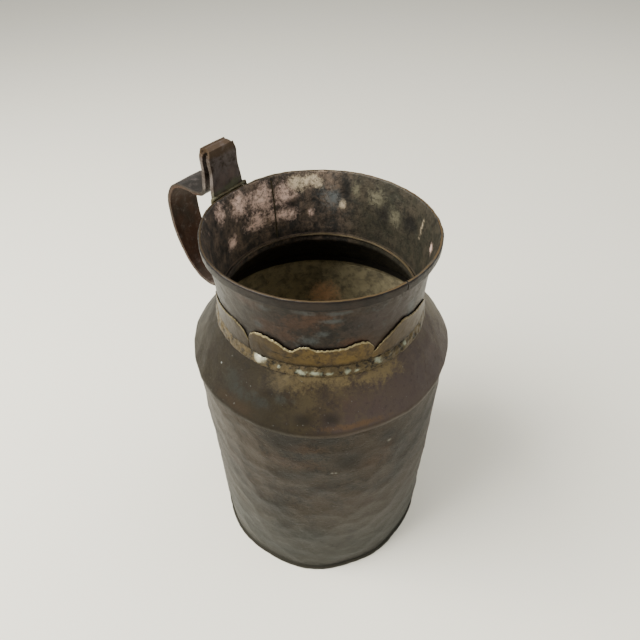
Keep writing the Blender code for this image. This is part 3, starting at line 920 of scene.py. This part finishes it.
# brass bands
bandLook = {
    "tint": (0.42, 0.42, 0.42),
    "brass": tone(132, 108, 62),
    "brown": tone(88, 73, 54),
    "dark": tone(56, 47, 34),
    # cream of the painted highlight on the band's top edge
    "worn": tone(226, 208, 156),
    "crease": tone(26, 22, 16),
    "creaseSpots": [
        ((283.5, neckFoot + 0.0118), 0.005, 0.0006), ((289.0, neckFoot + 0.0104), 0.0042, 0.0006),
    ],
    "rows": 8,
    "step": 0.5,   # degrees
    "sheet": 0.0009,
    "gap": 0.0001,  # off the neck
    "rag": 0.00045,
    "ripple": (0.0065, 0.0007),
}
bands = {
    "neck_band_left": {
        "name": "bandLeft", "lift": 0.0,
        "edge": [  # angle, height above the neck's foot
            (224, 0.011), (229, 0.0185), (238, 0.021), (250, 0.0218), (258, 0.0222), (264, 0.019),
            (267, 0.012),
        ],
    },
    "neck_band_front": {
        "name": "bandFront", "lift": 0.0004,
        "edge": [
            (267.0, 0.0135), (268.2, 0.018), (270.5, 0.0212), (274, 0.0226), (279, 0.0222), (284, 0.0202),
            (288.5, 0.0166), (291.5, 0.0157), (293.5, 0.0185), (296, 0.0203), (299.5, 0.0206),
            (301.5, 0.0183), (309, 0.018), (317, 0.0183), (321, 0.0202), (325, 0.0207), (328.5, 0.019),
            (331, 0.015), (331.8, 0.012),
        ],
    },
    "neck_band_right": {
        "name": "bandRight", "lift": 0.0003,
        "edge": [
            (329, 0.006), (333, 0.011), (337, 0.016), (341, 0.0192), (346, 0.023), (349.5, 0.0247),
            (354, 0.0228), (360, 0.0214), (367, 0.0206), (374, 0.018), (381, 0.011),
        ],
    },
}


def bandFinish(look):
    f = Finish("bandBrass", look)
    f.start(f.smooth(f.noise(60, 5, 0.65) + f.fray, 0.38, 0.66), "brass", "brown")
    f.lay(f.smooth(f.noise(170, 6, 0.75), 0.52, 0.66) * 0.8, "dark")
    ends = f.smooth(f.sideways(302), 0.022, 0.05)
    f.lay(ends * 0.8, "brown")
    # painted shade of two creases in the band's sheet
    f.spots("crease", neckRadius + 0.001, 0.85, 1.2)
    # painted shade on the bands' left side
    f.lay(f.left * 0.7, "dark")
    edge = f.stored("edge")
    f.lay((1 - f.smooth(edge + f.fray * 0.5, 0.02, 0.25)) * 0.8, "dark")
    # painted highlight along the band's top edge, kept to the front
    worn = f.smooth(edge + f.fray * 0.35, 0.9, 0.98) * (1 - ends * 0.6)
    f.lay(worn * 0.85, "worn")
    height = 0.4 * f.patch + 0.3 * f.grain
    return f.finish(0.28 + 0.28 * f.grain - 0.08 * worn, 0.65, height, 0.0006)


def makeBand(node, band, finish):
    edge = np.array(band["edge"])
    start, end = edge[0, 0], edge[-1, 0]
    count = round((end - start) / bandLook["step"])
    floor, rowRise = neckFoot + 0.004, 0.001
    arc = [onAxis(neckRadius, start + (end - start) * step / count, floor) for step in range(count + 1)]
    strip = drawLine(band["name"], arc)
    editAll()
    for row in range(bandLook["rows"]):
        bpy.ops.mesh.extrude_region_move(TRANSFORM_OT_translate={"value": (0, 0, rowRise)})
    leaveEdit()
    points = readPoints(strip)
    share = np.round((points[:, 2] - floor) / rowRise) / bandLook["rows"]
    angle = turnOf(points)
    angle = np.where(angle < start - 1, angle + 360, angle)
    top = neckFoot + np.interp(angle, edge[:, 0], edge[:, 1])
    ragged = np.sin(angle * 1.9) * 0.5 + np.sin(angle * 4.3 + 1) * 0.5 + np.sin(angle * 9.7) * 0.4
    top += bandLook["rag"] * ragged
    ease = np.clip(np.minimum(angle - start, end - angle) / 3.0, 0, 1)
    low = floor + 0.0012 * (1 - ease) + 0.0003 * np.sin(angle * 1.3)
    height = low + (top - low) * share
    radius = flareRadius(height) + bandLook["gap"] + band["lift"] * ease
    turn = np.radians(angle)
    writePoints(strip, np.stack([radius * np.cos(turn), radius * np.sin(turn), height], 1))
    # the share of the way up the band, which places the painted highlight on its top edge
    worn = strip.data.attributes.new("edge", "FLOAT", "POINT")
    worn.data.foreach_set("value", share.astype(np.float32))
    editAll()
    leaveEdit(True)
    middle = strip.data.polygons[len(strip.data.polygons) // 2]
    outward = middle.normal.xy.dot(middle.center.xy) > 0
    pushOut(strip, neckShift)
    thicken(strip, bandLook["sheet"], 1.0 if outward else -1.0)
    roughen(strip, "CLOUDS", *bandLook["ripple"])
    applyModifier(strip, "SUBSURF", levels=1, render_levels=1)
    finishPiece(strip, finish, node, 50)


# handle
strap = {
    "wide": 0.026,
    "thick": 0.0028,
    "flare": 0.008,         # wider at the neck's foot
    "tab": strapHigh.z - rimTop,
    "slot": 0.0036,          # between the tab's two leaves
    "lean": 0.001,
    "round": 0.0034,         # the tab's corners
    "shoulder": 0.0045,
    "waist": 0.0008,
    "footBelow": 0.031,     # under the rim
    "bed": 0.0014,           # room for the braze
    "drop": 0.0008,
    "landing": 0.0072,
    "foot": 0.02,
    "columns": 10,
    "pathSteps": 4,
    "bevel": 0.001,
    "ripple": (0.01, 0.0008),
    "loopMiddle": (-0.1, 0, 0.255),
    "loop": [  # share of the way out to the grip, share of the way up
        (0.035, 1.18), (0.06, 1.065), (0.14, 1.008), (0.3, 0.998), (0.47, 1.008), (0.62, 1.006),
        (0.819, 0.962), (0.964, 0.835), (1.000, 0.69), (0.984, 0.495), (0.877, 0.315), (0.723, 0.16),
        (0.53, 0.055), (0.349, 0.012), (0.181, 0.000),
    ],
}
leafRadius = rimRadius + strap["bed"] + strap["thick"] / 2
foldRadius = (strap["slot"] + strap["thick"]) / 2
foldHeight = strapHigh.z - strap["thick"] / 2 - foldRadius
gripRadius = -strapLow.x - strap["thick"] / 2
footBottom = rimTop - strap["footBelow"]


def leafAt(height):
    low = flareRadius(footBottom) + strap["bed"] + strap["thick"] / 2
    slant = (height - footBottom) / (strap["footBelow"] - jug["hemHeight"])
    return min(leafRadius, low + (leafRadius - low) * slant)


def strapPath():
    backLeaf = leafRadius + 2 * foldRadius
    runHeight = rimTop - strap["drop"] - strap["thick"] / 2
    landing = shoulderEdge + strap["landing"]
    footStart = coneRadius(landing, strap["bed"] + strap["thick"] / 2)
    leaf = (footBottom, (footBottom + hemBottom) / 2, hemBottom, rimTop)
    path = [(leafAt(height), height) for height in leaf]
    path.append((leafRadius + strap["lean"] / 2, (rimTop + foldHeight) / 2))
    for turn in range(0, 181, 30):
        across = leafRadius + strap["lean"] + foldRadius * (1 - math.cos(math.radians(turn)))
        path.append((across, foldHeight + foldRadius * math.sin(math.radians(turn))))
    for across, up in strap["loop"]:
        inner = footStart + (backLeaf - footStart) * min(1, up)
        path.append((inner + (gripRadius - inner) * across, landing + (runHeight - landing) * up))
    for along in (0.1, 0.25, 0.4, 0.7, 1.00):
        run = strap["foot"] * along / coneSlant
        path.append((footStart - run, landing + run * coneFall))
    return smoothPath([Vector(point) for point in path], strap["pathSteps"])


def smoothPath(points, steps):
    # a curve through all the points
    ends = [points[0], *points, points[-1]]
    path = []
    for a, b, c, d in zip(ends, ends[1:], ends[2:], ends[3:]):
        for step in range(steps):
            t = step / steps
            curve = (2 * a - 5 * b + 4 * c - d) * t ** 2 + (3 * b - a - 3 * c + d) * t ** 3
            path.append(0.5 * (2 * b + (c - a) * t + curve))
    return path + [points[-1]]


def halfWidth(radius, height):
    half = 0 * height + strap["wide"] / 2
    flareEnd = rimTop + strap["tab"] / 2
    onLeaf = (radius < leafRadius + foldRadius) & (height >= footBottom - 0.001) & (height < flareEnd)
    widened = half + strap["flare"] / 2 * (flareEnd - height) / (flareEnd - footBottom)
    half = np.where(onLeaf, widened, half)
    crown = np.maximum(0, height - foldHeight + strap["shoulder"]) / (foldRadius + strap["shoulder"])
    waist = strap["waist"] * np.exp(-((height - rimTop - 0.016) / 0.008) ** 2)
    return half - strap["round"] * crown ** 3 - waist * (radius < leafRadius + 3 * foldRadius)


strapLook = {
    "tint": (0.4, 0.4, 0.4),
    "grey": tone(72, 66, 58),
    "brown": tone(82, 66, 52),
    "red": tone(100, 70, 50),
    "gold": tone(110, 86, 60),
    "pale": tone(156, 142, 134),
    "pink": tone(170, 148, 136),
    "green": tone(150, 152, 120),
    "pinkSpots": [
        ((183, 0.3045), 0.006, 0.007), ((187, 0.3), 0.005, 0.004), ((176, 0.306), 0.005, 0.006),
    ],
    "greenSpots": [
        ((174, 0.2985), 0.007, 0.0035), ((180, 0.2975), 0.008, 0.003), ((187, 0.2975), 0.006, 0.003),
    ],
}


def strapFinish(look):
    f = Finish("wornStrap", look)
    f.start(f.smooth(f.noise(30, 5, 0.6, 0.3), 0.42, 0.6), "grey", "brown")
    inner = f.mix(f.smooth(f.noise(40, 5, 0.6, 0.3), 0.44, 0.62), look["red"], look["brown"])
    loop = f.smooth(0 - f.x, leafRadius + 0.012, leafRadius + 0.016)
    f.color = f.mix(loop * f.stored("inside"), f.color, inner)
    tab = (1 - loop) * f.smooth(f.z, rimTop, rimTop + 0.004)
    f.lay(tab * f.smooth(f.patch, 0.36, 0.58) * 0.9, "pale")
    crown = f.smooth(f.z + f.fray * 0.016, strapHigh.z - 0.0075, strapHigh.z - 0.0035)
    f.lay(crown * 0.9, "gold")
    f.spots("pink", leafRadius - 0.001, 0.7, 4.0)
    f.spots("green", leafRadius - 0.001, 0.8)
    f.lay(f.smooth(f.noise(190, 6, 0.75), 0.52, 0.66) * 0.45, "pale")
    height = 0.4 * f.patch + 0.35 * f.grain
    return f.finish(0.36 + 0.26 * f.grain, 0.5, height, 0.0006)


def makeStrap(finish):
    path = strapPath()
    half = strap["wide"] / 2
    sheet = drawLine("handleStrap", [(-radius, -half, height) for radius, height in path])
    editAll()
    for column in range(strap["columns"]):
        move = {"value": (0, strap["wide"] / strap["columns"], 0)}
        bpy.ops.mesh.extrude_region_move(TRANSFORM_OT_translate=move)
    leaveEdit(True)
    points = readPoints(sheet)
    points[:, 1] *= halfWidth(-points[:, 0], points[:, 2]) / half
    writePoints(sheet, points)
    thicken(sheet, strap["thick"], 0.0)
    # the face that looks in at the jug once the strap has left the tab
    inside = sheet.data.attributes.new("inside", "FLOAT", "POINT")
    normals = np.array([vertex.normal[:] for vertex in sheet.data.vertices])
    inwards = ((readPoints(sheet) - np.array(strap["loopMiddle"])) * normals).sum(1) < 0
    inside.data.foreach_set("value", inwards.astype(np.float32))
    corners = {"limit_method": "ANGLE", "angle_limit": math.radians(50)}
    applyModifier(sheet, "BEVEL", width=strap["bevel"], segments=3, **corners)
    applyModifier(sheet, "SUBSURF", levels=1, render_levels=1)
    roughen(sheet, "CLOUDS", *strap["ripple"])
    finishPiece(sheet, finish, "handle_strap", 50)


brazeLook = {
    "tint": (0.6, 0.6, 0.6),
    "olive": tone(98, 92, 68),
    "brown": tone(84, 72, 50),
    "pale": tone(130, 132, 112),
    "topBead": 0.0013,
    "footBead": 0.0015,
    "spacing": 0.002,
    "lump": (0.0035, 0.0012, 0.45),  # size, depth and middle
    "footRim": [  # share of the foot's length, share of its half width
        (0.35, -1), (0.6, -1), (0.85, -1), (1.0, -1), (1.02, -0.5), (1.02, 0),
        (1.02, 0.5), (1.0, 1), (0.85, 1), (0.6, 1), (0.35, 1),
    ],
}


def finishBead(bead, voxel, finish, node):
    applyModifier(bead, "REMESH", mode="VOXEL", voxel_size=voxel)
    roughen(bead, "CLOUDS", *brazeLook["lump"])
    finishPiece(bead, finish, node, 60)


def makeBrazes(finish):
    # beads round the two feet of the strap
    side = (strap["wide"] + strap["flare"]) / 2 - 0.001
    level = rimTop - 0.0002
    face = -(rimRadius + 0.0012)
    corner = (face, side, level)
    end = (leafAt(footBottom) * -1 + 0.0008, side + 0.0022, footBottom + 0.001)
    top = evenPoints([(face, -side, level), corner], brazeLook["spacing"])
    left = evenPoints([corner, (face, side + 0.0008, rimTop - 0.006), end], brazeLook["spacing"])
    points = [Vector((point.x, -point.y, point.z)) for point in reversed(left)] + top[1:-1] + left
    bead = layBead("topBraze", points, brazeLook["topBead"])
    finishBead(bead, 0.00045, finish, "handle_top_braze")

    landing = shoulderEdge + strap["landing"]
    rise = strap["foot"] * coneFall / coneSlant
    side = strap["wide"] / 2 + 0.0004
    rim = []
    for share, across in brazeLook["footRim"]:
        height = landing + rise * share
        radius = coneRadius(height, 0.001)
        y = side * across
        rim.append((-math.sqrt(radius ** 2 - y ** 2), y, height))
    bead = layBead("footBraze", evenPoints(rim, brazeLook["spacing"]), brazeLook["footBead"])
    finishBead(bead, 0.0005, finish, "handle_foot_braze")


def brazeFinish(look):
    f = Finish("handleBraze", look)
    f.start(f.smooth(f.patch, 0.42, 0.6), "olive", "brown")
    f.lay(f.smooth(f.noise(200, 5, 0.7), 0.55, 0.65) * 0.5, "pale")
    return f.finish(0.35 + 0.25 * f.grain, 0.55, 0.5 * f.grain, 0.001)


wornTinning = liningFinish(liningLook)
wallCopper = wallFinish(wallLook)
handleBraze = brazeFinish(brazeLook)
print("finishes ready")
makeWall(wallCopper, wornTinning)
makeBase(wallCopper, wornTinning)
makeShoulder(shoulderFinish(shoulderLook), wornTinning)
makeNeck(neckFinish(neckLook), wornTinning)
makeSeams(handleBraze)
makeSolder(solderFinish(solderLook))
bandBrass = bandFinish(bandLook)
for node, band in bands.items():
    makeBand(node, band, bandBrass)
makeStrap(strapFinish(strapLook))
makeBrazes(handleBraze)


# floor, light and camera; the lights and the camera are turned to look past the handle
studio = {
    "turn": 35,
    "floorTone": (0.92, 0.875, 0.72),
    "floorSize": 8.0,
    "floorRough": 0.6,
    "lights": {  # place, size, power
        "keyLight": ((-0.95, -0.25, 1.4), 1.0, 62),
        "fillLight": ((1.2, 0.4, 1.6), 1.6, 17),
    },
    "lightAim": (0, 0, 0.15),
    "skyTone": (0.97, 0.98, 1.0),
    "skyPower": 0.6,
    "cameraPlace": (-0.00045, -0.268, 0.46222),
    "cameraPitch": 42.79,
    "cameraRoll": -0.18,
    "lens": 28.125,
}
viewTurn = Matrix.Rotation(math.radians(studio["turn"]), 4, "Z")


def makeFloor():
    clearSelection()
    bpy.ops.mesh.primitive_plane_add(size=studio["floorSize"], location=(0, 0, 0))
    floor = bpy.context.object
    floor.name = "paleFloor"
    f = Finish("palePaint", {})
    f.color = (*studio["floorTone"], 1)
    f.finish(studio["floorRough"], 0.0)
    floor.data.materials.append(f.material)


def putInScene(name, data, place):
    thing = bpy.data.objects.new(name, data)
    bpy.context.scene.collection.objects.link(thing)
    thing.matrix_world = place
    return thing


def makeLight(name, place, size, power):
    lamp = bpy.data.lights.new(name, "AREA")
    lamp.size = size
    lamp.energy = power
    position = viewTurn @ Vector(place)
    aim = (Vector(studio["lightAim"]) - position).to_track_quat("-Z", "Y")
    putInScene(name, lamp, Matrix.Translation(position) @ aim.to_matrix().to_4x4())


def makeSky():
    world = bpy.data.worlds.new("softSky")
    world.use_nodes = True
    sky = world.node_tree.nodes["Background"]
    sky.inputs["Color"].default_value = (*studio["skyTone"], 1)
    sky.inputs["Strength"].default_value = studio["skyPower"]
    bpy.context.scene.world = world


def makeCamera():
    lens = bpy.data.cameras.new("viewCamera")
    lens.lens = studio["lens"]
    lens.sensor_width = 36
    tilt = Matrix.Rotation(math.radians(90 - studio["cameraPitch"]), 4, "X")
    roll = Matrix.Rotation(math.radians(studio["cameraRoll"]), 4, "Z")
    place = viewTurn @ Matrix.Translation(Vector(studio["cameraPlace"])) @ tilt @ roll
    bpy.context.scene.camera = putInScene("viewCamera", lens, place)


makeFloor()
for name, light in studio["lights"].items():
    makeLight(name, *light)
makeSky()
makeCamera()
print("floor, light and camera ready")
